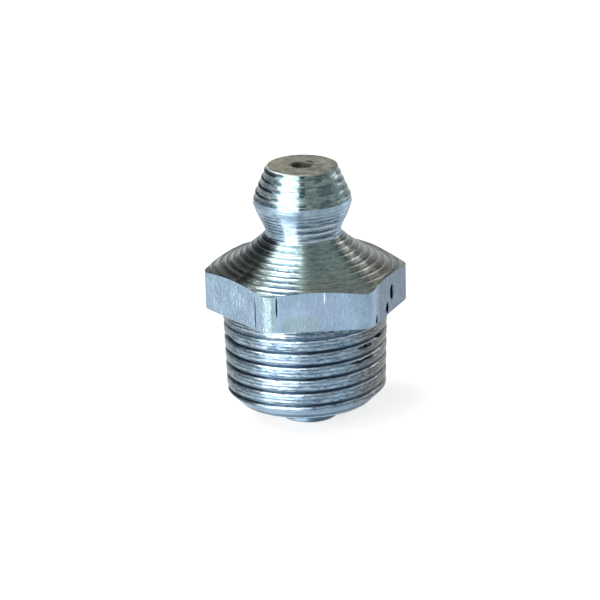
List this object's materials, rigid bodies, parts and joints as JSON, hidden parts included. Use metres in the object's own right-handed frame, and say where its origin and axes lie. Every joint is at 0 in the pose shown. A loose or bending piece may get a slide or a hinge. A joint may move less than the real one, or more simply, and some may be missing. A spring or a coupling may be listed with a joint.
{
  "type": "grease nipple",
  "caption": "Straight grease nipple with a hexagon, a threaded shank, a ball-check coupler head and a coil spring inside.",
  "frame": {"origin": "on the nipple's axis, at the underside of the hexagon, where the threaded shank starts", "axes": "+Z runs along the axis to the coupler head; a flat of the hexagon faces -Y and two of its corners lie on X"},
  "size_m": [0.0136, 0.012, 0.0176],
  "materials": {
    "zinc_plated_steel": "bright zinc plate with a clear bluish passivate, turning rings on the flare and head",
    "ball_steel": "polished bearing ball",
    "spring_steel": "drawn spring wire"
  },
  "bodies": {
    "housing": {"nipple_body": "zinc_plated_steel", "ball_spring": "spring_steel"},
    "ball": {"check_ball": "ball_steel"}
  },
  "joints": [
    {"name": "ball_lift", "type": "slide", "parent": "housing", "child": "ball", "axis": [0, 0, -1], "range_m": [0, 0.0125], "stiffness_N_per_m": 200, "deforming": ["ball_spring"]}
  ]
}
